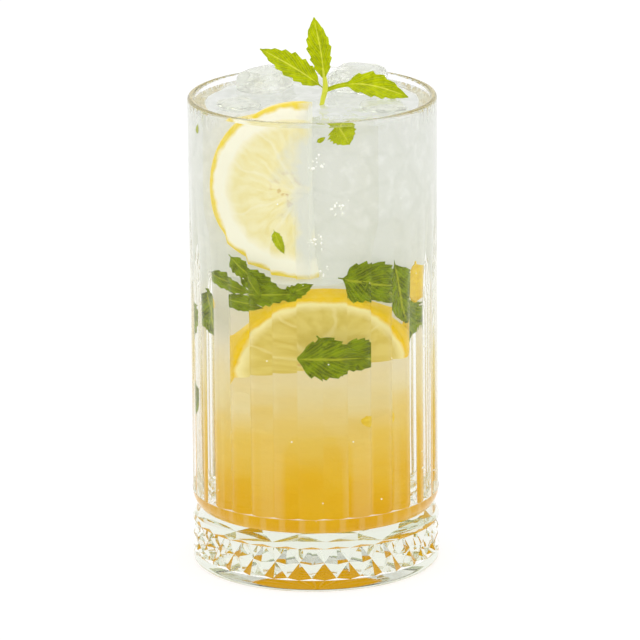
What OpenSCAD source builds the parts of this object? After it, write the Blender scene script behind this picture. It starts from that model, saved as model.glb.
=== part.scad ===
// Mojito cocktail in a ribbed long-drink glass.
// Millimetres, +Z up. The origin is the centre of the foot's underside and -Y is the front.

/* [Glass] */
// Outer diameter at the lip and at the foot
glass_d = 76; // [70:1:92]
// Height of the glass from the table to the lip
glass_h = 146.8; // [120:0.2:180]
// Thickness of the wall at the lip
lip_wall = 2; // [1.4:0.1:2.6]
// Thickness of the wall from the inside to a rib's crest, low on the body
body_wall = 4; // [3.2:0.1:5]
// Number of ribs round the body, and of diamonds round the foot
rib_count = 30; // [20:1:40]
// Radius of each rib's rounded face
rib_r = 6; // [5:0.1:8]
// Depth of the sharp valleys between the ribs
rib_depth = 1.2; // [0.6:0.1:1.8]
// Angle from +X to the first rib's crest
rib_turn = 3.7; // [0:0.1:12]
// Height of the smooth lip band, from the lip down to where the ribs have faded out
lip_band = 23.8; // [15:0.2:40]

/* [Foot] */
// Height of the floor inside the glass
floor_z = 16.5; // [12:0.5:22]
// Height of the edge between the plain band at the bottom and the cut diamonds
cut_low = 3.9; // [2:0.1:5]
// Height of the edge between the cut diamonds and the sloping shoulder
cut_high = 13.9; // [10:0.1:16]
// Depth of the cuts between the diamonds
cut_depth = 1.9; // [0.5:0.1:2]
// Height of the waist between foot and body
waist_z = 18.4; // [16.5:0.1:20]
// How far the waist is drawn in
waist_depth = 1.9; // [0.6:0.1:2]
// Height of the small ledge where the ribs start
ledge_z = 23.1; // [21:0.1:26]

/* [Drink] */
// Height of the drink below the lip
level_drop = 1.8; // [1:0.1:4]

/* [Lemon slice] */
// Radius of the slice
lemon_r = 26.8; // [20:0.1:33]
// Thickness of the slice
lemon_t = 4.4; // [3:0.1:6]
// Distance from the slice's centre to the straight cut
lemon_cut = 6; // [2:0.5:10]
// Turn of the slice away from the front
lemon_turn = -17; // [-25:1:0]
// Height of the slice's top above the drink
lemon_stand = 4.8; // [2:0.1:8]

/* [Mint] */
// Diameter of the stem
stem_d = 1.9; // [1.4:0.1:3]
// Thickness of a leaf
leaf_t = 0.6; // [0.5:0.1:1]
// Number of teeth along each edge of a leaf
leaf_teeth = 5; // [4:1:7]

/* [Ice] */
// Side of the largest ice piece that breaks the surface
ice_side = 17; // [12:0.1:21]

/* [Hidden] */

eps = 0.01;
outer_r = glass_d / 2;
smooth = 120;

// Body. The ribs' crests stay a hair inside the lip band, so that no faces just touch.
crest_r = outer_r - 0.1;
rib_centre_r = crest_r - rib_r;
pitch = 360 / rib_count;
fade_h = 10;
rib_top = glass_h - lip_band;
core_r = crest_r - rib_depth - 1.2;
fade_slope = rib_depth / fade_h;
foot_round = 1.6;
waist_r = outer_r - waist_depth;
lip_r = lip_wall / 2;

// Inside
inner_low_r = outer_r - body_wall;
inner_rib_top_r = inner_low_r + 0.5;
floor_corner_r = 6;

// Underside
recess_r = 33;
recess_h = 2.4;

// Drink
level_z = glass_h - level_drop;

// What floats in the drink keeps this clear of the glass
wall_gap = 0.6;
room_r = inner_rib_top_r - wall_gap;

// Lemon slice: its left end leans on the wall at this angle from +X, and its middle hangs free
lemon_rest = 210.3;
lemon_along = [cos(lemon_turn), sin(lemon_turn)];
lemon_front = [sin(lemon_turn), -cos(lemon_turn)];
lemon_mid = room_r * [cos(lemon_rest), sin(lemon_rest)]
    + lemon_r * lemon_along - lemon_t / 2 * lemon_front;
lemon_pos = [lemon_mid.x, lemon_mid.y, level_z + lemon_stand - lemon_r];
lemon_rind_r = 0.9;

// Mint sprig
stem_foot = [2.2, -3.4, level_z - 9];
stem_mouth = [3.1, -4, level_z + 0.4];
stem_fork = [4, -4, level_z + 4.6];
stem_tip = [3.4, -4, level_z + 11];
node_swell = 1.2;

// Points on a circle's arc in a profile, from angle a to angle b
function arc(centre, r, a, b, steps = 6) =
    [for (i = [0 : steps]) let (t = a + (b - a) * i / steps) centre + r * [cos(t), sin(t)]];

// A point at radius r, angle a and height z
function polar(r, a, z) = [r * cos(a), r * sin(a), z];

// ---------- Glass ----------

// Radius of the ring's rounding, which leaves the waist and ends upright at the ledge
ring_h = ledge_z - waist_z;
ring_r = (waist_depth * waist_depth + ring_h * ring_h) / (2 * waist_depth);
ring_low = asin(ring_h / ring_r);

module foot_rounding() {
    rotate_extrude($fn = smooth)
        polygon(concat(
            [[0, 0]],
            arc([outer_r - foot_round, foot_round], foot_round, -90, 0),
            [[outer_r, cut_low], [0, cut_low]]));
}

// The hollow under the foot, a shallow dome
module underside() {
    dome_r = (recess_r * recess_r + recess_h * recess_h) / (2 * recess_h);
    edge = asin(recess_r / dome_r);
    rotate_extrude($fn = smooth)
        polygon(concat(
            [[0, -1], [recess_r, -1]],
            arc([0, recess_h - dome_r], dome_r, 90 - edge, 90, 12)));
}

// One ring of pointed diamonds: the points stand out to outer_r, the cuts lie cut_depth deeper.
// Each step of the ring holds a diamond, and half diamonds above and below its neighbour.
cut_mid = (cut_low + cut_high) / 2;
cut_r = outer_r - cut_depth;

module foot_diamonds() {
    half = pitch / 2;
    tip_r = outer_r - eps;
    ring = [for (i = [0 : rib_count - 1]) let (a = rib_turn + i * pitch)
        each [polar(cut_r, a, cut_high), polar(tip_r, a + half, cut_high),
              polar(tip_r, a, cut_mid), polar(cut_r, a + half, cut_mid),
              polar(cut_r, a, cut_low), polar(tip_r, a + half, cut_low)]];
    top = len(ring);
    bottom = top + 1;
    faces = [for (i = [0 : rib_count - 1])
        let (p = i * 6, n = ((i + 1) % rib_count) * 6)
        each [
            [p + 2, p, p + 3], [p + 2, p + 3, p + 4],
            [n + 2, p + 3, n], [n + 2, n + 4, p + 3],
            [p + 1, p + 3, p], [p + 1, n, p + 3],
            [p + 5, p + 4, p + 3], [p + 5, p + 3, n + 4],
            [top, p, p + 1], [top, p + 1, n],
            [bottom, p + 5, p + 4], [bottom, n + 4, p + 5]]];
    polyhedron(points = concat(ring, [[0, 0, cut_high + 1], [0, 0, cut_low - 1]]),
               faces = [for (f = faces) [f[0], f[2], f[1]]], convexity = 4);
}

// Shoulder, waist, rounded ring, the cone that ends the ribs, and the lip band
module outer_turning() {
    fade_z = rib_top - (outer_r - core_r) / fade_slope;
    rotate_extrude($fn = smooth)
        polygon(concat(
            [[0, cut_high], [outer_r, cut_high], [waist_r, waist_z]],
            arc([outer_r - ring_r, ledge_z], ring_r, -ring_low, 0),
            [[core_r, ledge_z], [core_r, fade_z], [outer_r, rib_top]],
            arc([outer_r - lip_r, glass_h - lip_r], lip_r, 0, 90),
            [[0, glass_h]]));
}

module ribs() {
    translate([0, 0, ledge_z - 1])
        linear_extrude(rib_top - ledge_z + 1)
            union() {
                circle(r = core_r + eps, $fn = smooth);
                for (i = [0 : rib_count - 1])
                    rotate(rib_turn + i * pitch)
                        translate([rib_centre_r, 0])
                            circle(r = rib_r, $fn = 48);
            }
}

// The inside of the glass, from its floor up to z_top
module cavity(z_top) {
    corner = [inner_low_r - floor_corner_r, floor_z + floor_corner_r];
    rotate_extrude($fn = smooth)
        intersection() {
            polygon(concat(
                [[0, floor_z]],
                arc(corner, floor_corner_r, -90, 0),
                [[inner_rib_top_r, rib_top]],
                arc([outer_r - lip_r, glass_h - lip_r], lip_r, 180, 90),
                [[outer_r - lip_r, glass_h + 1], [0, glass_h + 1]]));
            square([outer_r, z_top]);
        }
}

module glass() {
    color("azure", 0.35)
        difference() {
            union() {
                foot_rounding();
                foot_diamonds();
                outer_turning();
                ribs();
            }
            cavity(glass_h + 1);
            underside();
        }
}

// ---------- Lemon ----------

// A wheel with a rounded rind, cut straight a little past its centre, upright in the drink
module lemon_wheel() {
    edge = lemon_t / 2 - lemon_rind_r;
    translate(lemon_pos)
        rotate([90, 0, lemon_turn])
            difference() {
                rotate_extrude($fn = smooth)
                    polygon(concat(
                        [[0, -lemon_t / 2]],
                        arc([lemon_r - lemon_rind_r, -edge], lemon_rind_r, -90, 0),
                        arc([lemon_r - lemon_rind_r, edge], lemon_rind_r, 0, 90),
                        [[0, lemon_t / 2]]));
                translate([lemon_cut, -lemon_r, -lemon_t])
                    cube([lemon_r, 2 * lemon_r, 2 * lemon_t]);
            }
}

module lemon_slice() {
    color("khaki") lemon_wheel();
}

// ---------- Mint ----------

// Half width of a leaf at part s of its length: a pointed oval with teeth along the edge
function leaf_half(s, w) =
    let (tooth = 1 - abs(2 * (s * leaf_teeth - floor(s * leaf_teeth)) - 1))
    w * pow(sin(180 * pow(s, 0.8)), 0.8) * (1 - 0.16 * tooth) + 0.25;

// A leaf along +X: it folds up along its middle, arches and may twist towards the tip
module leaf(length, w, fold, arch, twist = 0) {
    steps = leaf_teeth * 4;
    across = [-1, -0.5, 0, 0.5, 1];
    wide = len(across);
    skin = function (lift) [for (i = [0 : steps], t = across)
        let (s = i / steps, half = leaf_half(s, w), turn = twist * s, y = t * half,
             z = abs(y) * fold + lift)
        [length * s, y * cos(turn) - z * sin(turn),
         y * sin(turn) + z * cos(turn) + arch * sin(180 * s)]];
    count = (steps + 1) * wide;
    last = steps * wide;
    quads = [for (i = [0 : steps - 1], j = [0 : wide - 2])
        let (a = i * wide + j) [a, a + 1, a + wide + 1, a + wide]];
    tris = [for (q = quads) each [[q[0], q[1], q[2]], [q[0], q[2], q[3]]]];
    side = function (a, b) [[a, b, b + count], [a, b + count, a + count]];
    rim = concat(
        [for (i = [0 : steps - 1]) each side(i * wide + wide, i * wide)],
        [for (i = [0 : steps - 1]) each side(i * wide + wide - 1, i * wide + 2 * wide - 1)],
        [for (j = [0 : wide - 2]) each side(j, j + 1)],
        [for (j = [0 : wide - 2]) each side(last + j + 1, last + j)]);
    polyhedron(
        points = concat(skin(leaf_t / 2), skin(-leaf_t / 2)),
        faces = concat(tris,
                       [for (t = tris) [t[2] + count, t[1] + count, t[0] + count]],
                       [for (t = rim) [t[2], t[1], t[0]]]),
        convexity = 6);
}

// A straight round length of stem from a to b, with the slight swelling of a node at a
module stem_piece(a, b, d) {
    run = b - a;
    translate(a)
        rotate([0, acos(run.z / norm(run)), atan2(run.y, run.x)]) {
            cylinder(h = norm(run), d = d, $fn = 24);
            sphere(d = d * node_swell, $fn = 24);
        }
}

module mint_stem() {
    stem_piece(stem_foot, stem_mouth, stem_d);
    stem_piece(stem_mouth, stem_fork, stem_d);
    stem_piece(stem_fork, stem_tip, stem_d * 0.8);
    stem_piece(stem_fork, stem_fork + [5.4, -0.4, 1.2], stem_d * 0.6);
}

module mint_sprig() {
    color("yellowgreen") {
        mint_stem();
        // The top leaf, folded almost shut
        translate(stem_tip - [0.2, 0, 3.5])
            rotate([0, -95, 0]) rotate([55, 0, 0]) leaf(19.6, 4.6, 0.75, 0.6, 15);
        // The left leaf
        translate(stem_tip - [0, 0, 5.5])
            rotate([0, -147, 0]) rotate([115, 0, 0]) leaf(21.5, 4.4, 0.3, 1.2, -10);
        // The right leaf, on its stalk
        translate(stem_fork + [4.6, -0.4, 1])
            rotate([0, 9, 0]) rotate([-58, 0, 0]) leaf(21.6, 4.3, 0.25, 1.8, 25);
    }
}

// ---------- Ice ----------

// A melting block of ice: a turned block with its corners and edges worn off
module ice(pos, side, turn) {
    translate(pos)
        rotate(turn)
            intersection() {
                cube(side * [1, 0.92, 0.84], center = true);
                rotate([45, 0, 12]) cube(side * 1.14, center = true);
                rotate([14, 45, 0]) cube(side * 1.12, center = true);
                rotate([0, 8, 45]) cube(side * 1.18, center = true);
            }
}

// A block floating at this angle from +X, gap away from the wall, that stands out by about stand
module floating_ice(angle, gap, stand, side, turn) {
    reach = 0.62 * side;
    depth = side / 2 - stand;
    ice(polar(room_r - reach - gap, angle, level_z - depth), side, turn);
}

// The four pieces that stand out of the drink
module ice_1() { floating_ice(49, 2, 6.5, ice_side, [14, 9, 25]); }
module ice_2() { floating_ice(130, 3, 5.2, ice_side * 0.8, [-12, 15, 50]); }
module ice_3() { floating_ice(192, 3, 2.1, ice_side * 0.76, [12, 20, 10]); }
module ice_4() { floating_ice(-24, 2, 2.1, ice_side * 0.8, [20, -10, 70]); }

module ice_back_right() { color("aliceblue", 0.5) ice_1(); }
module ice_back_left() { color("aliceblue", 0.5) ice_2(); }
module ice_left() { color("aliceblue", 0.5) ice_3(); }
module ice_right() { color("aliceblue", 0.5) ice_4(); }

// ---------- Drink ----------

// The drink fills the inside up to its level, round whatever stands out of it
module drink() {
    color("goldenrod", 0.8)
        difference() {
            cavity(level_z);
            lemon_wheel();
            mint_stem();
            ice_1();
            ice_2();
            ice_3();
            ice_4();
        }
}

glass();
drink();
lemon_slice();
mint_sprig();
ice_back_right();
ice_back_left();
ice_left();
ice_right();
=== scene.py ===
import math
import bpy
from mathutils import Matrix, Vector, noise


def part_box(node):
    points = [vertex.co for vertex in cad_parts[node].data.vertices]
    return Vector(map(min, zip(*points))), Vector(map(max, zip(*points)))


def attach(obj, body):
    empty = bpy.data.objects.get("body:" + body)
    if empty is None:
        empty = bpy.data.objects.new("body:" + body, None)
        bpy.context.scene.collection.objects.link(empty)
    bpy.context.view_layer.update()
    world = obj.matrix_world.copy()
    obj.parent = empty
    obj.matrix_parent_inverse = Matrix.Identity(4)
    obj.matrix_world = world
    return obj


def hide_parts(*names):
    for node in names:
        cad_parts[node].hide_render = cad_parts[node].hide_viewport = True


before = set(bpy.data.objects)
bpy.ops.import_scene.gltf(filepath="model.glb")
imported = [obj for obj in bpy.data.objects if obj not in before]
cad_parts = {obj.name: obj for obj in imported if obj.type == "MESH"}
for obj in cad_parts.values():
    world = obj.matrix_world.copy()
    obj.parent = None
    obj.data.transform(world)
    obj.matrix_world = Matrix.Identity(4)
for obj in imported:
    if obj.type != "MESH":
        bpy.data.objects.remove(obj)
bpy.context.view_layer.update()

MM = 0.001

# ---------- Sizes, from the frame ----------
glass_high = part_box("glass")[1]
drink_low, drink_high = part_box("drink")
OUTER_R = glass_high.x
LIP_Z = glass_high.z
FLOOR_Z = drink_low.z
LEVEL_Z = drink_high.z
LOW_WALL_R = OUTER_R - 4 * MM
RIB_TOP_WALL_R = OUTER_R - 3.5 * MM
LIP_WALL_R = OUTER_R - 2 * MM
RIB_TOP_Z = LIP_Z - 23.8 * MM
CORNER_R = 6 * MM

# The ribs' outer faces, and the heights between which they grow shallow
RIB_COUNT = 30
RIB_PITCH = 360 / RIB_COUNT
RIB_TURN = 3.7
RIB_SHARE = ((RIB_TURN - 90) % RIB_PITCH) / RIB_PITCH
RIB_SKIN_R = OUTER_R - 1.6 * MM
RIB_HEIGHTS = [z * MM for z in (84, 90, 96, 102, 108)]
RIB_WEAR = 0.8

# The drink: clear liquid that reaches just into the glass, round a cloudy core
DRINK_SINK = 0.05 * MM
CORE_GAP = 1.0 * MM
CORE_LOW_R = 27.5 * MM
CORE_HIGH_R = 32.5 * MM
CORE_GROWS_Z = 84 * MM
CORE_GROWN_Z = 114 * MM
CORE_CORNER_R = 5.6 * MM
SYRUP_LIFT = 0.4 * MM
SYRUP_CONTACT_R = 20 * MM
ICY_LOW_Z = 85 * MM

# The upper slice of lemon stands behind the wall, and the sunk one leans against it
LEMON_R = 26.8 * MM
LEMON_T = 4.4 * MM
LEMON_TURN = math.radians(-17)
LEMON_MID = Vector((-3.0, -22.8, 123.0)) * MM
SUNK_R = 26 * MM
SUNK_T = 6.5 * MM
SUNK_TURN = math.radians(2)
SUNK_LEAN = math.radians(110)
SUNK_MID = Vector((2.0, -21.0, 68.7)) * MM
SEGMENTS = 9

# Sunk leaves lie on this radius, just inside the wall
LEAF_R = 33 * MM


def wall_r(z):
    """The inside radius of the glass at height z, above the rounded corner."""
    if z < RIB_TOP_Z:
        return LOW_WALL_R + (RIB_TOP_WALL_R - LOW_WALL_R) * (z - FLOOR_Z) / (RIB_TOP_Z - FLOOR_Z)
    return RIB_TOP_WALL_R + (LIP_WALL_R - RIB_TOP_WALL_R) * (z - RIB_TOP_Z) / (LIP_Z - RIB_TOP_Z)


def core_radius(z):
    """How far the cloudy part reaches out: further where the ice lies against the wall."""
    share = min(1, max(0, (z - CORE_GROWS_Z) / (CORE_GROWN_Z - CORE_GROWS_Z)))
    return CORE_LOW_R + (CORE_HIGH_R - CORE_LOW_R) * share


# ---------- Modelling ----------

def select_only(obj):
    bpy.ops.object.select_all(action="DESELECT")
    obj.select_set(True)
    bpy.context.view_layer.objects.active = obj


def add_object(name, data):
    """Adds mesh or curve data to the scene as the one selected object."""
    obj = bpy.data.objects.new(name, data)
    bpy.context.scene.collection.objects.link(obj)
    select_only(obj)
    return obj


def edit_all(obj):
    select_only(obj)
    bpy.ops.object.mode_set(mode="EDIT")
    bpy.ops.mesh.select_all(action="SELECT")


def face_outwards():
    bpy.ops.mesh.select_all(action="SELECT")
    bpy.ops.mesh.normals_make_consistent(inside=False)


def smooth_below(degrees):
    bpy.ops.object.mode_set(mode="OBJECT")
    bpy.ops.object.shade_smooth_by_angle(angle=math.radians(degrees))


def turned(name, profile, steps=180):
    """Spins a profile of (radius, height) points, which starts and ends on the axis, into a solid."""
    mesh = bpy.data.meshes.new(name)
    mesh.from_pydata([(r, 0, z) for r, z in profile], [(i, i + 1) for i in range(len(profile) - 1)], [])
    obj = add_object(name, mesh)
    edit_all(obj)
    bpy.ops.mesh.spin(steps=steps, angle=2 * math.pi, center=(0, 0, 0), axis=(0, 0, 1))
    bpy.ops.mesh.select_all(action="SELECT")
    bpy.ops.mesh.remove_doubles(threshold=1e-6)
    face_outwards()
    smooth_below(35)
    return obj


def filled_profile(gap, low, high, rows, rounding):
    """The profile of what fills the glass, gap inside its wall, from height low to height high."""
    arc_steps = 8
    top_steps = 26
    r0 = wall_r(low + rounding) - gap
    points = [(0, low)] + [(r * (r0 - rounding) / 3, low) for r in (1, 2)]
    for i in range(arc_steps + 1):
        turn = i * math.pi / 2 / arc_steps
        points.append((r0 - rounding + rounding * math.sin(turn), low + rounding - rounding * math.cos(turn)))
    for i in range(rows):
        z = low + rounding + (high - low - rounding) * (i + 1) / rows
        points.append((wall_r(z) - gap, z))
    edge = wall_r(high) - gap
    points += [(edge * (1 - i / top_steps), high) for i in range(1, top_steps)]
    return points + [(0, high)]


def cut_room(obj, outline, turn, place=(0, 0, 0)):
    """Cuts a bar along X, whose outline is (y, z) points in mm, out of the object."""
    half_length = 60 * MM
    mesh = bpy.data.meshes.new("room")
    mesh.from_pydata([(-half_length, y * MM, z * MM) for y, z in outline], [], [range(len(outline))])
    bar = add_object("room", mesh)
    edit_all(bar)
    bpy.ops.mesh.extrude_region_move(TRANSFORM_OT_translate={"value": (2 * half_length, 0, 0)})
    face_outwards()
    bpy.ops.object.mode_set(mode="OBJECT")
    bar.location = place
    bar.rotation_euler = (0, 0, turn)
    cut = obj.modifiers.new("cut", "BOOLEAN")
    cut.object = bar
    cut.solver = "EXACT"
    select_only(obj)
    bpy.ops.object.modifier_apply(modifier="cut")
    bpy.data.objects.remove(bar)


def join_pieces(name, objs):
    bpy.ops.object.select_all(action="DESELECT")
    for obj in objs:
        obj.select_set(True)
    bpy.context.view_layer.objects.active = objs[0]
    if len(objs) > 1:
        bpy.ops.object.join()
    objs[0].name = name
    return objs[0]


def finish_piece(obj, material, slot, *nodes):
    """Gives a piece its material, hides the nodes that it replaces and hangs it under the root body; slot is
    not used.
    """
    select_only(obj)
    bpy.ops.object.transform_apply(location=True, rotation=True, scale=True)
    obj.data.materials.clear()
    obj.data.materials.append(material)
    if nodes:
        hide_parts(*nodes)
    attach(obj, "root")


# ---------- Materials ----------

MATH = "ShaderNodeMath"
RANGE = "ShaderNodeMapRange"
MIX = "ShaderNodeMix"
NOISE = "ShaderNodeTexNoise"
AXES = "ShaderNodeSeparateXYZ"
COMBINE = "ShaderNodeCombineXYZ"
ABSORPTION = "ShaderNodeVolumeAbsorption"
COLOUR = {"data_type": "RGBA"}


def linear(code):
    """An sRGB hex colour as linear RGBA."""
    parts = [int(code[i:i + 2], 16) / 255 for i in (1, 3, 5)]
    return [c / 12.92 if c <= 0.04045 else ((c + 0.055) / 1.055) ** 2.4 for c in parts] + [1.0]


def add_node(tree, kind, inputs=(), **settings):
    """Adds a node. Inputs go by socket, or in order; each is a value, a hex colour, a node or its output."""
    node = tree.nodes.new(kind)
    for key, value in settings.items():
        setattr(node, key, value)
    for key, value in inputs.items() if isinstance(inputs, dict) else enumerate(inputs):
        if isinstance(value, bpy.types.Node):
            value = value.outputs[2 if value.bl_idname == MIX else 0]
        if isinstance(value, bpy.types.NodeSocket):
            tree.links.new(value, node.inputs[key])
        else:
            node.inputs[key].default_value = linear(value) if isinstance(value, str) else value
    return node


def new_material(name):
    """An empty material, its node tree and its Object coordinates."""
    material = bpy.data.materials.new(name)
    material.use_nodes = True
    tree = material.node_tree
    tree.nodes.clear()
    return material, tree, add_node(tree, "ShaderNodeTexCoord").outputs["Object"]


def add_surface(tree, inputs, relief=None, depth=0.0, volume=None):
    """Adds the shader; relief is a pattern that raises the surface by up to depth."""
    shader = add_node(tree, "ShaderNodeBsdfPrincipled", inputs)
    if relief:
        raised = add_node(tree, "ShaderNodeBump", {"Height": relief, "Distance": depth, "Strength": 1.0})
        tree.links.new(raised.outputs[0], shader.inputs["Normal"])
    output = add_node(tree, "ShaderNodeOutputMaterial", {"Surface": shader})
    if volume:
        tree.links.new(volume.outputs[0], output.inputs["Volume"])


def painted_glow_inputs(tree, colour, within, outside):
    """Shader inputs for a moist, cloudy thing: a painted glow, emission of its own colour, stands in for
    light passing through it, and the surface colour is dimmed by outside to match.
    """
    shade = (outside, outside, outside, 1)
    lit = add_node(tree, MIX, {0: 1.0, 6: colour, 7: shade}, blend_type="MULTIPLY", **COLOUR)
    return {"Base Color": lit, "Emission Color": colour, "Emission Strength": within}


def pressed_glass():
    # Soda-lime glass, pressed and fire polished: clear, and faintly olive where light runs far inside it.
    # The tinted mirror image keeps the colours behind the wall deep.
    material, tree, _ = new_material("pressed_soda_lime_glass")
    iron = add_node(tree, ABSORPTION, {"Color": (0.60, 0.67, 0.42, 1), "Density": 7.0})
    add_surface(tree, {"Base Color": "#ffffff", "Roughness": 0.0, "IOR": 1.5, "Transmission Weight": 1.0,
                       "Specular Tint": (0.4, 0.4, 0.14, 1)}, volume=iron)
    return material


def clear_soda():
    # Soda water round the ice: clear, with a trace of juice, and little mirror image against the glass
    material, tree, _ = new_material("clear_soda_water")
    juice = add_node(tree, ABSORPTION, {"Color": (0.5, 0.48, 0.1, 1), "Density": 3.0})
    add_surface(tree, {"Base Color": "#ffffff", "Roughness": 0.0, "IOR": 1.33, "Transmission Weight": 1.0,
                       "Specular Tint": (0.2, 0.2, 0.07, 1)}, volume=juice)
    return material


def cloudy_drink():
    # Orange syrup settled below, pale sour mix above it and crushed ice on top, with uneven borders:
    # borders wander by 5 mm, ice lumps are 13 mm across and frost streaks 4 mm
    material, tree, place = new_material("syrup_and_crushed_ice")
    axes = add_node(tree, AXES, (place,))
    swirl = add_node(tree, NOISE, {"Vector": place, "Scale": 1 / (14 * MM), "Detail": 3.0})
    wander = add_node(tree, RANGE, (swirl, 0.3, 0.7, -5 * MM, 5 * MM))
    height = add_node(tree, MATH, (axes.outputs["Z"], wander), operation="ADD")
    layers = add_node(tree, "ShaderNodeValToRGB", (add_node(tree, RANGE, (height, FLOOR_Z, LEVEL_Z, 0, 1)),))
    stops = [(0.0, "#dca200"), (0.05, "#dfa904"), (0.12, "#e2b224"), (0.22, "#e6c358"),
             (0.33, "#e9d8a0"), (0.45, "#e8dfc4"), (0.6, "#dfe1d6"), (1.0, "#e1e3de")]
    ends = layers.color_ramp.elements
    while len(ends) < len(stops):
        ends.new(0.5)
    for end, (share, _) in zip(ends, stops):
        end.position = share
    for end, (_, code) in zip(ends, stops):
        end.color = linear(code)
    # Painted shade: grey seams between the lumps of ice
    lumps = add_node(tree, "ShaderNodeTexVoronoi", {"Vector": place, "Scale": 1 / (13 * MM)},
                     feature="DISTANCE_TO_EDGE")
    painted_seam_shade = add_node(tree, RANGE, (lumps, 0.0, 0.1, 1, 0))
    among_ice = add_node(tree, RANGE, (height, ICY_LOW_Z, 105 * MM, 0, 0.14))
    painted_seam_shade = add_node(tree, MATH, (painted_seam_shade, among_ice), operation="MULTIPLY")
    colour = add_node(tree, MIX, {0: painted_seam_shade, 6: layers, 7: "#c3c8ba"}, **COLOUR)
    # White frost in the ice
    frost = add_node(tree, NOISE, {"Vector": place, "Scale": 1 / (4 * MM), "Detail": 5.0, "Roughness": 0.65})
    streaks = add_node(tree, RANGE, (frost, 0.5, 0.72, 0, 1))
    among_ice = add_node(tree, RANGE, (height, ICY_LOW_Z, 120 * MM, 0, 0.45))
    streaks = add_node(tree, MATH, (streaks, among_ice), operation="MULTIPLY")
    colour = add_node(tree, MIX, {0: streaks, 6: colour, 7: "#f6f7f4"}, **COLOUR)
    # Painted light: paler strips behind the ribs' valleys, where the valleys gather the light
    angle = add_node(tree, MATH, (axes.outputs["Y"], axes.outputs["X"]), operation="ARCTAN2")
    ribs = add_node(tree, MATH, (angle, RIB_COUNT / (2 * math.pi)), operation="MULTIPLY")
    ribs = add_node(tree, MATH, (ribs, RIB_SHARE), operation="SUBTRACT")
    ribs = add_node(tree, MATH, (ribs,), operation="FRACT")
    ribs = add_node(tree, MATH, (ribs, 0.5), operation="SUBTRACT")
    ribs = add_node(tree, MATH, (ribs,), operation="ABSOLUTE")
    painted_rib_light = add_node(tree, RANGE, (ribs, 0.3, 0.4, 0, 1))
    low_down = add_node(tree, RANGE, (height, 30 * MM, 90 * MM, 0.12, 0))
    painted_rib_light = add_node(tree, MATH, (painted_rib_light, low_down), operation="MULTIPLY")
    colour = add_node(tree, MIX, {0: painted_rib_light, 6: colour, 7: "#f3e6bc"}, **COLOUR)
    waves = add_node(tree, NOISE, {"Vector": place, "Scale": 1 / (7 * MM), "Detail": 4.0})
    # Painted glow: emission of the drink's colour stands in for light passing through it
    add_surface(tree, {**painted_glow_inputs(tree, colour, 0.55, 0.5), "Roughness": 0.6, "Specular IOR Level": 0.0},
                waves, 1.2 * MM)
    return material


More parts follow.
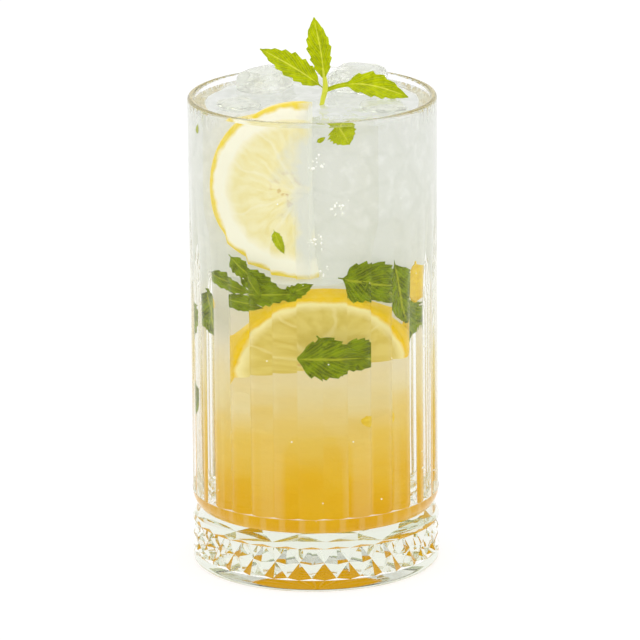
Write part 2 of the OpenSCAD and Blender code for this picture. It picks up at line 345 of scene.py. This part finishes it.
def cut_lemon(name, centre, turn, radius, pith_width, codes, veil=None):
    # Lemon cut with a knife: waxy yellow rind, soft white pith, and wet segments between pale membranes.
    # A veil of (start, end) across the slice hides its far side behind ice.
    rind, pith, flesh, deep, skin = codes
    material, tree, place = new_material(name)
    place = add_node(tree, "ShaderNodeMapping", {"Vector": place, "Location": centre, "Rotation": turn},
                     vector_type="TEXTURE")
    axes = add_node(tree, AXES, (place,))
    x = axes.outputs["X"]
    y = axes.outputs["Y"]
    # Distance from the middle, wandering by half a millimetre
    x_squared = add_node(tree, MATH, (x, x), operation="MULTIPLY")
    y_squared = add_node(tree, MATH, (y, y), operation="MULTIPLY")
    away = add_node(tree, MATH, (x_squared, y_squared), operation="ADD")
    away = add_node(tree, MATH, (away,), operation="SQRT")
    wobble = add_node(tree, NOISE, {"Vector": place, "Scale": 1 / (5 * MM)})
    wobble = add_node(tree, RANGE, (wobble, 0.3, 0.7, -0.5 * MM, 0.5 * MM))
    away = add_node(tree, MATH, (away, wobble), operation="ADD")
    # Turns, counted in segments
    angle = add_node(tree, MATH, (y, x), operation="ARCTAN2")
    turns = add_node(tree, MATH, (angle, SEGMENTS / (2 * math.pi)), operation="MULTIPLY")
    uneven = add_node(tree, NOISE, {"Vector": place, "Scale": 1 / (12 * MM)})
    uneven = add_node(tree, RANGE, (uneven, 0.3, 0.7, -0.12, 0.12))
    turns = add_node(tree, MATH, (turns, uneven), operation="ADD")
    across = add_node(tree, MATH, (turns,), operation="FRACT")
    across = add_node(tree, MATH, (across, 0.5), operation="SUBTRACT")
    across = add_node(tree, MATH, (across,), operation="ABSOLUTE")
    # Membranes half a millimetre thick
    membrane = add_node(tree, MATH, (0.5, across), operation="SUBTRACT")
    membrane = add_node(tree, MATH, (membrane, away), operation="MULTIPLY")
    membrane = add_node(tree, MATH, (membrane, 2 * math.pi / SEGMENTS), operation="MULTIPLY")
    membrane = add_node(tree, RANGE, (membrane, 0.15 * MM, 0.55 * MM, 0.5, 0))
    # Juice sacs, long from the middle outwards
    sacs_across = add_node(tree, MATH, (turns, 3.2), operation="MULTIPLY")
    sacs_along = add_node(tree, MATH, (away, 0.13 / MM), operation="MULTIPLY")
    sacs = add_node(tree, COMBINE, (sacs_across, sacs_along, 0.0))
    sacs = add_node(tree, NOISE, {"Vector": sacs, "Scale": 1.6, "Detail": 3.0})
    depth = add_node(tree, RANGE, (sacs, 0.38, 0.66, 0, 1))
    colour = add_node(tree, MIX, {0: depth, 6: flesh, 7: deep}, **COLOUR)
    colour = add_node(tree, MIX, {0: membrane, 6: colour, 7: skin}, **COLOUR)
    middle = add_node(tree, RANGE, (away, 1.2 * MM, 2.6 * MM, 1, 0))
    colour = add_node(tree, MIX, {0: middle, 6: colour, 7: skin}, **COLOUR)
    # Brown marks of pips near the middle
    marks = add_node(tree, NOISE, {"Vector": place, "Scale": 1 / (2.2 * MM), "Detail": 3.0})
    marks = add_node(tree, RANGE, (marks, 0.56, 0.64, 0, 1))
    near_middle = add_node(tree, RANGE, (away, 4 * MM, 10 * MM, 0.8, 0))
    marks = add_node(tree, MATH, (marks, near_middle), operation="MULTIPLY")
    colour = add_node(tree, MIX, {0: marks, 6: colour, 7: "#cfa860"}, **COLOUR)
    # Pith, and a rind with pale spots
    pith_start = radius - pith_width
    in_pith = add_node(tree, RANGE, (away, pith_start - 2.4 * MM, pith_start + 0.4 * MM, 0, 1))
    colour = add_node(tree, MIX, {0: in_pith, 6: colour, 7: pith}, **COLOUR)
    spots = add_node(tree, NOISE, {"Vector": place, "Scale": 1 / (1.6 * MM)})
    spots = add_node(tree, RANGE, (spots, 0.35, 0.7, 0, 0.12))
    peel = add_node(tree, MIX, {0: spots, 6: rind, 7: pith}, **COLOUR)
    in_rind = add_node(tree, RANGE, (away, radius - 1.9 * MM, radius - 0.9 * MM, 0, 1))
    colour = add_node(tree, MIX, {0: in_rind, 6: colour, 7: peel}, **COLOUR)
    if veil:
        drift = add_node(tree, NOISE, {"Vector": place, "Scale": 1 / (9 * MM), "Detail": 4.0})
        drift = add_node(tree, RANGE, (drift, 0.3, 0.7, -5 * MM, 5 * MM))
        hidden = add_node(tree, MATH, (x, drift), operation="ADD")
        bow = add_node(tree, MATH, (y_squared, 9.0), operation="MULTIPLY")
        hidden = add_node(tree, MATH, (hidden, bow), operation="SUBTRACT")
        hidden = add_node(tree, RANGE, (hidden, *veil, 0, 1))
        colour = add_node(tree, MIX, {0: hidden, 6: colour, 7: "#dfe1d8"}, **COLOUR)
    # Painted glow: emission of the lemon's colour stands in for light passing through the slice
    add_surface(tree, {**painted_glow_inputs(tree, colour, 0.5, 0.55), "Roughness": 0.3,
                       "Specular Tint": (0.7, 0.65, 0.3, 1)}, sacs, 0.2 * MM)
    return material


def mint_leaf(name, codes, within, outside):
    # A living mint leaf: a pale midrib, seven pairs of side veins, painted shade in the hollows beside them
    # and painted light on the swells between, a soft sheen
    dark, green, pale, rib = codes
    material, tree, place = new_material(name)
    uv = add_node(tree, "ShaderNodeUVMap", uv_map="blade")
    axes = add_node(tree, AXES, (uv,))
    across = add_node(tree, MATH, (axes.outputs["X"], 0.5), operation="SUBTRACT")
    across = add_node(tree, MATH, (across,), operation="ABSOLUTE")
    along = add_node(tree, MATH, (axes.outputs["Y"], 7.0), operation="MULTIPLY")
    slant = add_node(tree, MATH, (across, 5.0), operation="MULTIPLY")
    vein = add_node(tree, MATH, (along, slant), operation="SUBTRACT")
    vein = add_node(tree, MATH, (vein,), operation="FRACT")
    vein = add_node(tree, MATH, (vein, 0.5), operation="SUBTRACT")
    vein = add_node(tree, MATH, (vein,), operation="ABSOLUTE")
    patches = add_node(tree, NOISE, {"Vector": place, "Scale": 1 / (2.6 * MM), "Detail": 4.0,
                                     "Roughness": 0.65})
    patches = add_node(tree, RANGE, (patches, 0.38, 0.6, 0, 1))
    colour = add_node(tree, MIX, {0: patches, 6: dark, 7: green}, **COLOUR)
    # Painted light on the swells between the veins, leaving painted shade in the hollows beside them
    swell = add_node(tree, RANGE, (vein, 0.2, 0.5, 0, 0.5))
    colour = add_node(tree, MIX, {0: swell, 6: colour, 7: pale}, **COLOUR)
    side_veins = add_node(tree, RANGE, (vein, 0.0, 0.12, 0.4, 0))
    midrib = add_node(tree, RANGE, (across, 0.015, 0.05, 0.75, 0))
    lines = add_node(tree, MATH, (side_veins, midrib), operation="MAXIMUM")
    colour = add_node(tree, MIX, {0: lines, 6: colour, 7: rib}, **COLOUR)
    relief = add_node(tree, MATH, (vein, patches), operation="ADD")
    # Painted glow: emission of the leaf's colour stands in for light passing through the leaf
    add_surface(tree, {**painted_glow_inputs(tree, colour, within, outside), "Roughness": 0.42,
                       "Specular Tint": (0.6, 0.65, 0.1, 1)}, relief, 0.2 * MM)
    return material


def lemon_peel():
    # Lemon zest cut off in bits: waxy yellow with pores a millimetre apart
    material, tree, place = new_material("lemon_zest")
    pores = add_node(tree, NOISE, {"Vector": place, "Scale": 1 / (1.2 * MM)})
    shade = add_node(tree, RANGE, (pores, 0.35, 0.7, 0, 1))
    colour = add_node(tree, MIX, {0: shade, 6: "#e4bc00", 7: "#f2d224"}, **COLOUR)
    # Painted glow: emission of the zest's colour stands in for light passing through it
    add_surface(tree, {**painted_glow_inputs(tree, colour, 0.4, 0.6), "Roughness": 0.35}, pores, 0.15 * MM)
    return material


def wet_ice():
    # Melting ice: nearly clear and wet, with frosty clouds 6 mm across, a wavy face and a faint painted glow
    material, tree, place = new_material("melting_ice")
    cloud = add_node(tree, NOISE, {"Vector": place, "Scale": 1 / (6 * MM), "Detail": 4.0, "Roughness": 0.6})
    cloud = add_node(tree, RANGE, (cloud, 0.45, 0.75, 0, 1))
    colour = add_node(tree, MIX, {0: cloud, 6: "#f8f9f5", 7: "#e6e5da"}, **COLOUR)
    waves = add_node(tree, NOISE, {"Vector": place, "Scale": 1 / (4.5 * MM), "Detail": 3.0})
    # Painted glow: a faint emission of pale ice colour stands in for light passing through the ice
    add_surface(tree, {"Base Color": colour, "Roughness": 0.1, "Emission Color": "#e9ebe4",
                       "Emission Strength": 0.03, "IOR": 1.31, "Transmission Weight": 0.85}, waves, 0.9 * MM)
    return material


def gas_bubble():
    # Painted glints: opaque beads with a white glow stand for gas bubbles seen against the light, some a
    # little greyer
    material, tree, place = new_material("gas_bubble_glint")
    tint = add_node(tree, NOISE, {"Vector": place, "Scale": 1 / (2 * MM)})
    tint = add_node(tree, RANGE, (tint, 0.4, 0.6, 0, 1))
    colour = add_node(tree, MIX, {0: tint, 6: "#ffffff", 7: "#e4e6dc"}, **COLOUR)
    add_surface(tree, {"Base Color": colour, "Roughness": 0.08, "Emission Color": "#ffffff",
                       "Emission Strength": 0.25})
    return material


# ---------- Glass and drink ----------

def make_glass():
    """The frame's own glass, merged, with its ribs worn shallower towards the lip."""
    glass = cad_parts["glass"].copy()
    glass.data = glass.data.copy()
    for key in list(glass.keys()):
        del glass[key]
    glass.name = "glass_body"
    bpy.context.scene.collection.objects.link(glass)
    glass.parent = None
    edit_all(glass)
    bpy.ops.mesh.remove_doubles(threshold=1e-6)
    for height in RIB_HEIGHTS:
        bpy.ops.mesh.select_all(action="SELECT")
        bpy.ops.mesh.bisect(plane_co=(0, 0, height), plane_no=(0, 0, 1))
    bpy.ops.object.mode_set(mode="OBJECT")
    for vertex in glass.data.vertices:
        p = vertex.co
        away = math.hypot(p.x, p.y)
        if away > RIB_SKIN_R and RIB_HEIGHTS[0] - 0.1 * MM < p.z < RIB_TOP_Z + 0.1 * MM:
            depth_left = 1 - RIB_WEAR * min(1, (p.z - RIB_HEIGHTS[0]) / (RIB_HEIGHTS[-1] - RIB_HEIGHTS[0]))
            share = (OUTER_R - (OUTER_R - away) * depth_left) / away
            p.x *= share
            p.y *= share
    bpy.ops.mesh.customdata_custom_splitnormals_clear()
    smooth_below(22)
    finish_piece(glass, pressed_glass(), "clear_glass", "glass")


def make_drink():
    profile = filled_profile(-DRINK_SINK, FLOOR_Z - DRINK_SINK, LEVEL_Z, 12, CORNER_R)
    clear = turned("drink_clear", profile)
    edge = wall_r(LEVEL_Z)
    for vertex in clear.data.vertices:
        p = vertex.co
        inward = edge - math.hypot(p.x, p.y)
        if p.z > LEVEL_Z - 0.01 * MM and inward > 0.2 * MM:
            calm = min(1, inward / (6 * MM))
            ripple = 0.9 * noise.noise(p / (7 * MM)) + 0.4 * noise.noise(p / (2.6 * MM))
            p.z += MM * calm * ripple
            p.z += 0.9 * MM * max(0, 1 - inward / (2.2 * MM)) ** 2
    finish_piece(clear, clear_soda(), "drink", "drink")
    # The syrup lies on the glass floor in the middle, and the rest of the core stands just clear of it
    core_low = FLOOR_Z - 1.6 * DRINK_SINK
    profile = []
    for r, z in filled_profile(CORE_GAP, core_low, LEVEL_Z - 1.5 * MM, 60, CORE_CORNER_R):
        if z < FLOOR_Z and r < SYRUP_CONTACT_R:
            r *= 0.82
        else:
            z = max(z, FLOOR_Z + SYRUP_LIFT)
        profile.append((min(r, core_radius(z)), z))
    core = turned("drink_core", profile)
    behind = LEMON_T / 2 / MM + 0.5
    cut_room(core, [(-50, 92), (-50, 160), (behind, 160), (behind, 96)], LEMON_TURN,
             (LEMON_MID.x, LEMON_MID.y, 0))
    cut_room(core, [(-60, 34), (-60, 95), (-16.5, 95), (-16.5, 60), (-27.5, 38)], SUNK_TURN)
    select_only(core)
    smooth_below(35)
    finish_piece(core, cloudy_drink(), "drink")
    for vertex in core.data.vertices:
        p = vertex.co
        if p.z > LEVEL_Z - 1.6 * MM:
            p.z += 0.5 * MM * noise.noise(p / (5 * MM))


# ---------- Lemon ----------

def lemon_slice(name, radius, thickness, pith, centre, turn, cut, material, *nodes):
    """A wheel with a rounded rind and sunk flesh, cut straight by a plane of (point, normal)."""
    sides = 96
    bpy.ops.object.select_all(action="DESELECT")
    bpy.ops.mesh.primitive_cylinder_add(vertices=sides, radius=radius, depth=thickness)
    wheel = bpy.context.object
    wheel.name = name
    bpy.ops.object.mode_set(mode="EDIT")
    bpy.ops.mesh.select_mode(type="FACE")
    bpy.ops.mesh.select_all(action="DESELECT")
    bpy.ops.mesh.select_face_by_sides(number=sides)
    bpy.ops.mesh.region_to_loop()
    bpy.ops.mesh.bevel(offset=0.9 * MM, segments=4, affect="EDGES")
    bpy.ops.mesh.select_mode(type="FACE")
    bpy.ops.mesh.select_all(action="DESELECT")
    bpy.ops.mesh.select_face_by_sides(number=sides)
    bpy.ops.mesh.inset(thickness=pith - 0.6 * MM, depth=0.1 * MM, use_individual=True)
    bpy.ops.mesh.inset(thickness=0.7 * MM, depth=-0.35 * MM, use_individual=True)
    bpy.ops.mesh.select_all(action="SELECT")
    bpy.ops.mesh.bisect(plane_co=cut[0], plane_no=cut[1], use_fill=True, clear_outer=True)
    face_outwards()
    smooth_below(30)
    wheel.location = centre
    wheel.rotation_euler = turn
    finish_piece(wheel, material, "lemon", *nodes)


def make_lemons():
    upright = (math.pi / 2, 0, LEMON_TURN)
    pith = 5.4 * MM
    skin = cut_lemon("cut_lemon_above", LEMON_MID, upright, LEMON_R, pith,
                     ("#eed440", "#fbf8e4", "#f4ecbe", "#eee2a2", "#f8f2d2"), (-7 * MM, 1.0 * MM))
    lemon_slice("lemon_slice_upper", LEMON_R, LEMON_T, pith, LEMON_MID, upright,
                ((2.5 * MM, 0, 0), (1, 0, 0)), skin, "lemon_slice")
    lean = (SUNK_LEAN, 0, SUNK_TURN)
    pith = 2.6 * MM
    # The sunk slice's colours are a darker copy of the upper slice's: painted shade on its face, which is
    # turned down
    skin = cut_lemon("cut_lemon_sunk_painted_shade", SUNK_MID, lean, SUNK_R, pith,
                     ("#ecc400", "#f6eaa8", "#e2cf74", "#d6bf5a", "#eee09c"))
    lemon_slice("lemon_slice_sunk", SUNK_R, SUNK_T, pith, SUNK_MID, lean, ((0, 0, 0), (0.12, -1, 0)), skin)


# ---------- Mint ----------

def blade(length, width, teeth, place, fold=0.25, arch=0.0, belly=0.78, neck=0.05, sway=0.0):
    """A toothed leaf; place(across, along, up) puts each point where it lies. Lengths are in mm."""
    rows = 30
    columns = 8
    thickness = 0.3 * MM
    points = []
    uvs = []
    for i in range(rows + 1):
        u = i / rows
        swell = 0.0
        if u < 1:
            swell = math.sin(math.pi * min(1, 0.02 + max(0, (u - neck) / (1 - neck)) ** belly)) ** 0.75
        swell *= min(1, max(0.1, (u - neck) / 0.12))
        jag = 0.12 + 0.22 * abs(math.sin(3.3 * int(u * teeth) + length))
        tooth = 1
        if neck + 0.05 < u < 0.97:
            tooth += jag * (((u * teeth) % 1.0) ** 1.3 - 0.3)
        stalk_share = 0.2 if neck > 0.1 and u < neck + 0.1 else 0.03
        half = width / 2 * max(swell, stalk_share) * MM
        lean = sway * length * MM * math.sin(math.pi * u ** 0.8)
        for j in range(columns + 1):
            v = 2 * j / columns - 1
            reach = half * (tooth if abs(v) > 0.9 else 1)
            quilt = math.sin(2 * math.pi * (u * 7 - abs(v) * 2.5)) * (1 - abs(v) ** 4) * min(1, 3 * abs(v))
            up = fold * abs(v) * reach + 0.022 * width * MM * quilt * swell - arch * length * MM * u * u
            points.append(place(v * reach + lean, u * length * MM, up))
            uvs.append((0.5 + v / 2, u))
    wide = columns + 1
    faces = [(i * wide + j, i * wide + j + 1, (i + 1) * wide + j + 1, (i + 1) * wide + j)
             for i in range(rows) for j in range(columns)]
    mesh = bpy.data.meshes.new("leaf")
    mesh.from_pydata(points, [], faces)
    layer = mesh.uv_layers.new(name="blade")
    for loop in mesh.loops:
        layer.data[loop.index].uv = uvs[loop.vertex_index]
    leaf = add_object("leaf", mesh)
    shell = leaf.modifiers.new("thickness", "SOLIDIFY")
    shell.thickness = thickness
    shell.offset = 0
    bpy.ops.object.modifier_apply(modifier="thickness")
    smooth_below(40)
    return leaf


def free_place(base, tip, face):
    """Puts a leaf in the air: from base to tip in mm, its upper side towards `face`."""
    start = Vector(base) * MM
    along = (Vector(tip) * MM - start).normalized()
    face = Vector(face)
    up = (face - along * face.dot(along)).normalized()
    across = along.cross(up)
    return lambda a, b, c: start + across * a + along * b + up * c


def wall_place(degrees, height, lean, radius):
    """Lays a leaf inside the wall, seen from outside: degrees right of the front, lean from upright."""
    angle = math.radians(degrees)
    tilt = math.radians(lean)

    def put(a, b, c):
        side = a * math.cos(tilt) + b * math.sin(tilt)
        rise = b * math.cos(tilt) - a * math.sin(tilt)
        r = radius + c + 0.5 * MM * noise.noise(Vector((side, rise, radius)) / (6 * MM))
        t = angle + side / radius
        return Vector((r * math.sin(t), -r * math.cos(t), height * MM + rise))
    return put


def on_wall(degrees, height, lean, length, width, depth=0.0, fold=0.15, teeth=8):
    return blade(length, width, teeth, wall_place(degrees, height, lean, LEAF_R - depth * MM), fold)


def peel_bit(degrees, height, lean, length, width, depth):
    return on_wall(degrees, height, lean, length, width, depth, fold=0.0, teeth=0)


def stalk(knots, radius):
    """A round stalk through (point in mm, swelling) knots."""
    curve = bpy.data.curves.new("stem", "CURVE")
    curve.dimensions = "3D"
    curve.bevel_depth = radius
    curve.bevel_resolution = 3
    curve.use_fill_caps = True
    line = curve.splines.new("BEZIER")
    line.bezier_points.add(len(knots) - 1)
    for knot, (point, swelling) in zip(line.bezier_points, knots):
        knot.co = Vector(point) * MM
        knot.radius = swelling
        knot.handle_left_type = "AUTO"
        knot.handle_right_type = "AUTO"
    add_object("stem", curve)
    bpy.ops.object.convert(target="MESH")
    stem = bpy.context.object
    layer = stem.data.uv_layers.get("blade") or stem.data.uv_layers.new(name="blade")
    for loop in layer.data:
        loop.uv = (0.5, 0.5)
    smooth_below(50)
    return stem


def make_sprig():
    leaf_left = blade(22.5, 7.6, 7, free_place((3.2, -3.9, 149.8), (-16.6, -5.4, 163.6), (0.15, -0.8, 0.6)),
                      fold=0.22, arch=0.05, belly=0.9, neck=0.04, sway=0.02)
    leaf_top = blade(21.0, 7.0, 7, free_place((3.6, -4, 150.6), (0.6, -3.2, 171.6), (-0.3, -0.9, 0.2)),
                     fold=0.42, arch=0.02, belly=1.15, neck=0.06, sway=0.035)
    leaf_right = blade(25.6, 7.6, 7, free_place((3.6, -4, 148.4), (28.8, -6.2, 147.6), (0.1, -0.75, 0.65)),
                       fold=0.25, arch=0.04, belly=0.95, neck=0.22, sway=-0.13)
    stem = stalk([((2.2, -3.4, 136), 1.0), ((3.1, -4, 145.4), 1.05), ((4.0, -4, 149.6), 1.25),
                  ((3.4, -4, 156), 0.6)], 0.7 * MM)
    fresh = mint_leaf("fresh_mint", ("#8a9a00", "#b2c000", "#c8d010", "#dee054"), 0.28, 0.86)
    sprig = join_pieces("mint_sprig_fresh", [leaf_left, leaf_top, leaf_right, stem])
    finish_piece(sprig, fresh, "mint", "mint_sprig")


# Sunk leaves and bits: degrees right of the front, height, lean, length, width, depth behind the wall
SUNK_LEAVES = {
    "mint_sunk_left": [(-47, 103, 132, 13, 5, 0.6), (-44, 98.5, 112, 19, 7.5, 1.0), (-62, 96, 104, 16, 5),
                       (-38, 91.5, 84, 16, 6.5, 0.4), (-18, 91, 62, 11, 5, 0.8), (-50, 89, 96, 12, 5, 1.4),
                       (-36, 99, 150, 9, 4, 0.2)],
    "mint_sunk_right": [(12, 98, 105, 19, 12), (27, 102, 145, 18, 10, 0.8), (20, 91, 68, 15, 8, 1.3),
                        (46, 101, 170, 21, 8, 0.4), (59, 89, 176, 18, 7, 1.2)],
    "mint_sunk_middle": [(-10, 73, 92, 21, 12), (0, 80, 150, 15, 10, 0.9), (14, 76, 120, 12, 10, 0.5)],
    "mint_sunk_side": [(-68, 90, 172, 16, 6), (-78, 86, 185, 17, 6, 0.5), (-84, 58, 170, 12, 4, 0.5)],
}
PEEL_BITS = [(63, 98.5, 178, 13, 7, 0.5), (57, 84, 176, 12, 6, 1.6), (-47, 76, 178, 15, 5, 0.3),
             (-62, 92, 178, 14, 5, 0.6), (26, 54, 170, 4, 3, 0.4), (44, 54, 178, 5, 3, 0.2)]
MINT_BITS = [(12, 145.7, 150, 8, 8, 0.2), (-20, 113, 158, 8, 2.8, -0.3), (2, 140, 60, 3, 1.4),
             (-75, 137, 10, 3, 1.6)]


def make_sunk_garnish():
    sunk = mint_leaf("sunk_mint", ("#344a00", "#708a00", "#a0ac0c", "#b4b830"), 0.26, 0.8)
    for name, leaves in SUNK_LEAVES.items():
        finish_piece(join_pieces(name, [on_wall(*leaf) for leaf in leaves]), sunk, "mint")
    bits = join_pieces("lemon_peel_bits", [peel_bit(*bit) for bit in PEEL_BITS])
    finish_piece(bits, lemon_peel(), "lemon")
    bright = mint_leaf("mint_at_the_surface", ("#8a9800", "#b0bc06", "#c0c81c", "#ccd040"), 0.28, 0.84)
    finish_piece(join_pieces("mint_bits", [on_wall(*bit) for bit in MINT_BITS]), bright, "mint")


# ---------- Ice ----------

def ice_lump(name, seed, height_share, material):
    """A block with worn edges and an uneven, melting face; only what stands out of the drink is kept."""
    low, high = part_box(name)
    size = high - low
    middle = (low + high) / 2
    bpy.ops.object.select_all(action="DESELECT")
    bpy.ops.mesh.primitive_cube_add(size=1, location=middle)
    lump = bpy.context.object
    lump.name = name + "_melting"
    lump.scale = (size.x * 0.8, size.y * 0.8, size.z * 0.97)
    bpy.ops.object.transform_apply(location=False, rotation=False, scale=True)
    edit_all(lump)
    bpy.ops.transform.rotate(value=math.radians(20 * seed), orient_axis="Z", center_override=middle)
    bpy.ops.mesh.bevel(offset=0.2 * size.x, segments=3, affect="EDGES")
    bpy.ops.mesh.subdivide(number_cuts=3)
    bpy.ops.transform.vertex_random(offset=0.9 * MM, seed=seed)
    bpy.ops.mesh.vertices_smooth(factor=0.6, repeat=3)
    bpy.ops.object.mode_set(mode="OBJECT")
    bpy.ops.object.transform_apply(location=True, rotation=True, scale=True)
    edit_all(lump)
    bpy.ops.mesh.bisect(plane_co=(0, 0, LEVEL_Z - 0.4 * MM), plane_no=(0, 0, -1), use_fill=True,
                        clear_outer=True)
    face_outwards()
    bpy.ops.object.mode_set(mode="OBJECT")
    for vertex in lump.data.vertices:
        if vertex.co.z > LEVEL_Z:
            vertex.co.z = LEVEL_Z + (vertex.co.z - LEVEL_Z) * height_share
    smooth_below(50)
    finish_piece(lump, material, "ice", name)


def make_ice():
    """Tall lumps at the back of the mouth, and low ones at its sides."""
    material = wet_ice()
    lumps = [("ice_back_right", 1.0), ("ice_back_left", 1.0), ("ice_left", 0.5), ("ice_right", 0.5)]
    for seed, (name, height_share) in enumerate(lumps, 1):
        ice_lump(name, seed, height_share, material)


# ---------- Bubble glints ----

def make_bubble_glints():
    """Painted glints of gas bubbles on the wall, as beads with a white glow: thick groups near the front, the
    rest thinly spread.
    """
    # Each group: degrees right of the front, height, spread, number
    groups = [(2, 134, 2.2, 14), (13, 120, 2.6, 14), (2, 110, 2.6, 14), (6, 101, 2.0, 6),
              (-58, 30, 4, 5), (64, 34, 5, 5)]
    scattered = 60
    golden_turn = 137.5
    spots = []
    for g, (degrees, height, spread, count) in enumerate(groups):
        for k in range(count):
            aside = 2 * noise.noise(Vector((g * 3.1, k * 1.7, 0.5)))
            above = 2 * noise.noise(Vector((k * 2.3, g * 1.9, 7.5)))
            size = 0.14 + 0.26 * abs(math.sin(k * 2.4))
            angle = math.radians(degrees) + aside * spread * MM / LEAF_R
            spots.append((angle, height + above * spread, size))
    for k in range(scattered):
        size = 0.1 + 0.14 * abs(math.sin(k * 1.3))
        spots.append((math.radians((k * golden_turn) % 360), 22 + (k * 47.3) % 118, size))
    bpy.ops.object.select_all(action="DESELECT")
    bpy.ops.mesh.primitive_ico_sphere_add(subdivisions=2, radius=1)
    pattern = bpy.context.object
    beads = []
    for angle, height, size in spots:
        bead = pattern.copy()
        bead.data = pattern.data.copy()
        bpy.context.scene.collection.objects.link(bead)
        r = wall_r(height * MM) - (size + 0.1) * MM
        bead.scale = (size * MM,) * 3
        bead.location = (r * math.sin(angle), -r * math.cos(angle), height * MM)
        beads.append(bead)
    bpy.data.objects.remove(pattern)
    bubbles = join_pieces("gas_bubble_glints", beads)
    select_only(bubbles)
    bpy.ops.object.shade_smooth()
    finish_piece(bubbles, gas_bubble(), "drink")


make_glass()
make_drink()
make_lemons()
make_sprig()
make_sunk_garnish()
make_ice()
make_bubble_glints()

# ---------- Stage ----------
bpy.ops.object.select_all(action="DESELECT")
bpy.ops.mesh.primitive_plane_add(size=6, location=(0, 0, 0))
floor = bpy.context.object
floor.name = "floor"
# Matt pale paper, bright enough to show white all the way under the glass
paper, tree, _ = new_material("pale_floor")
add_surface(tree, {"Base Color": (0.25, 0.25, 0.25, 1), "Roughness": 0.9, "Specular IOR Level": 0.0,
                   "Emission Color": (1, 1, 1, 1), "Emission Strength": 0.8})
floor.data.materials.append(paper)

# Soft even light from all round
world = bpy.data.worlds.new("studio")
bpy.context.scene.world = world
world.use_nodes = True
tree = world.node_tree
tree.nodes.clear()
background = add_node(tree, "ShaderNodeBackground", {"Strength": 1.03, "Color": (1, 1, 1, 1)})
add_node(tree, "ShaderNodeOutputWorld", {"Surface": background})

# Camera: a long lens a little above the lip
CAMERA_Y = -1.89336
CAMERA_Z = 0.59663
PITCH = 0.2685
ROLL = 0.0096
camera = bpy.data.cameras.new("camera")
camera.sensor_width = 36
camera.lens = 360.15
camera.shift_x = 0.009
eye = bpy.data.objects.new("camera", camera)
bpy.context.scene.collection.objects.link(eye)
eye.matrix_world = (Matrix.Translation((0, CAMERA_Y, CAMERA_Z))
                    @ Matrix.Rotation(math.pi / 2 - PITCH, 4, "X") @ Matrix.Rotation(-ROLL, 4, "Z"))
bpy.context.scene.camera = eye

# Many bounces, for the light's long way through glass, soda and ice
scene = bpy.context.scene
scene.view_settings.view_transform = "Standard"
scene.cycles.max_bounces = 48
scene.cycles.transmission_bounces = 48
scene.cycles.glossy_bounces = 24
scene.cycles.diffuse_bounces = 16
scene.cycles.blur_glossy = 0.0
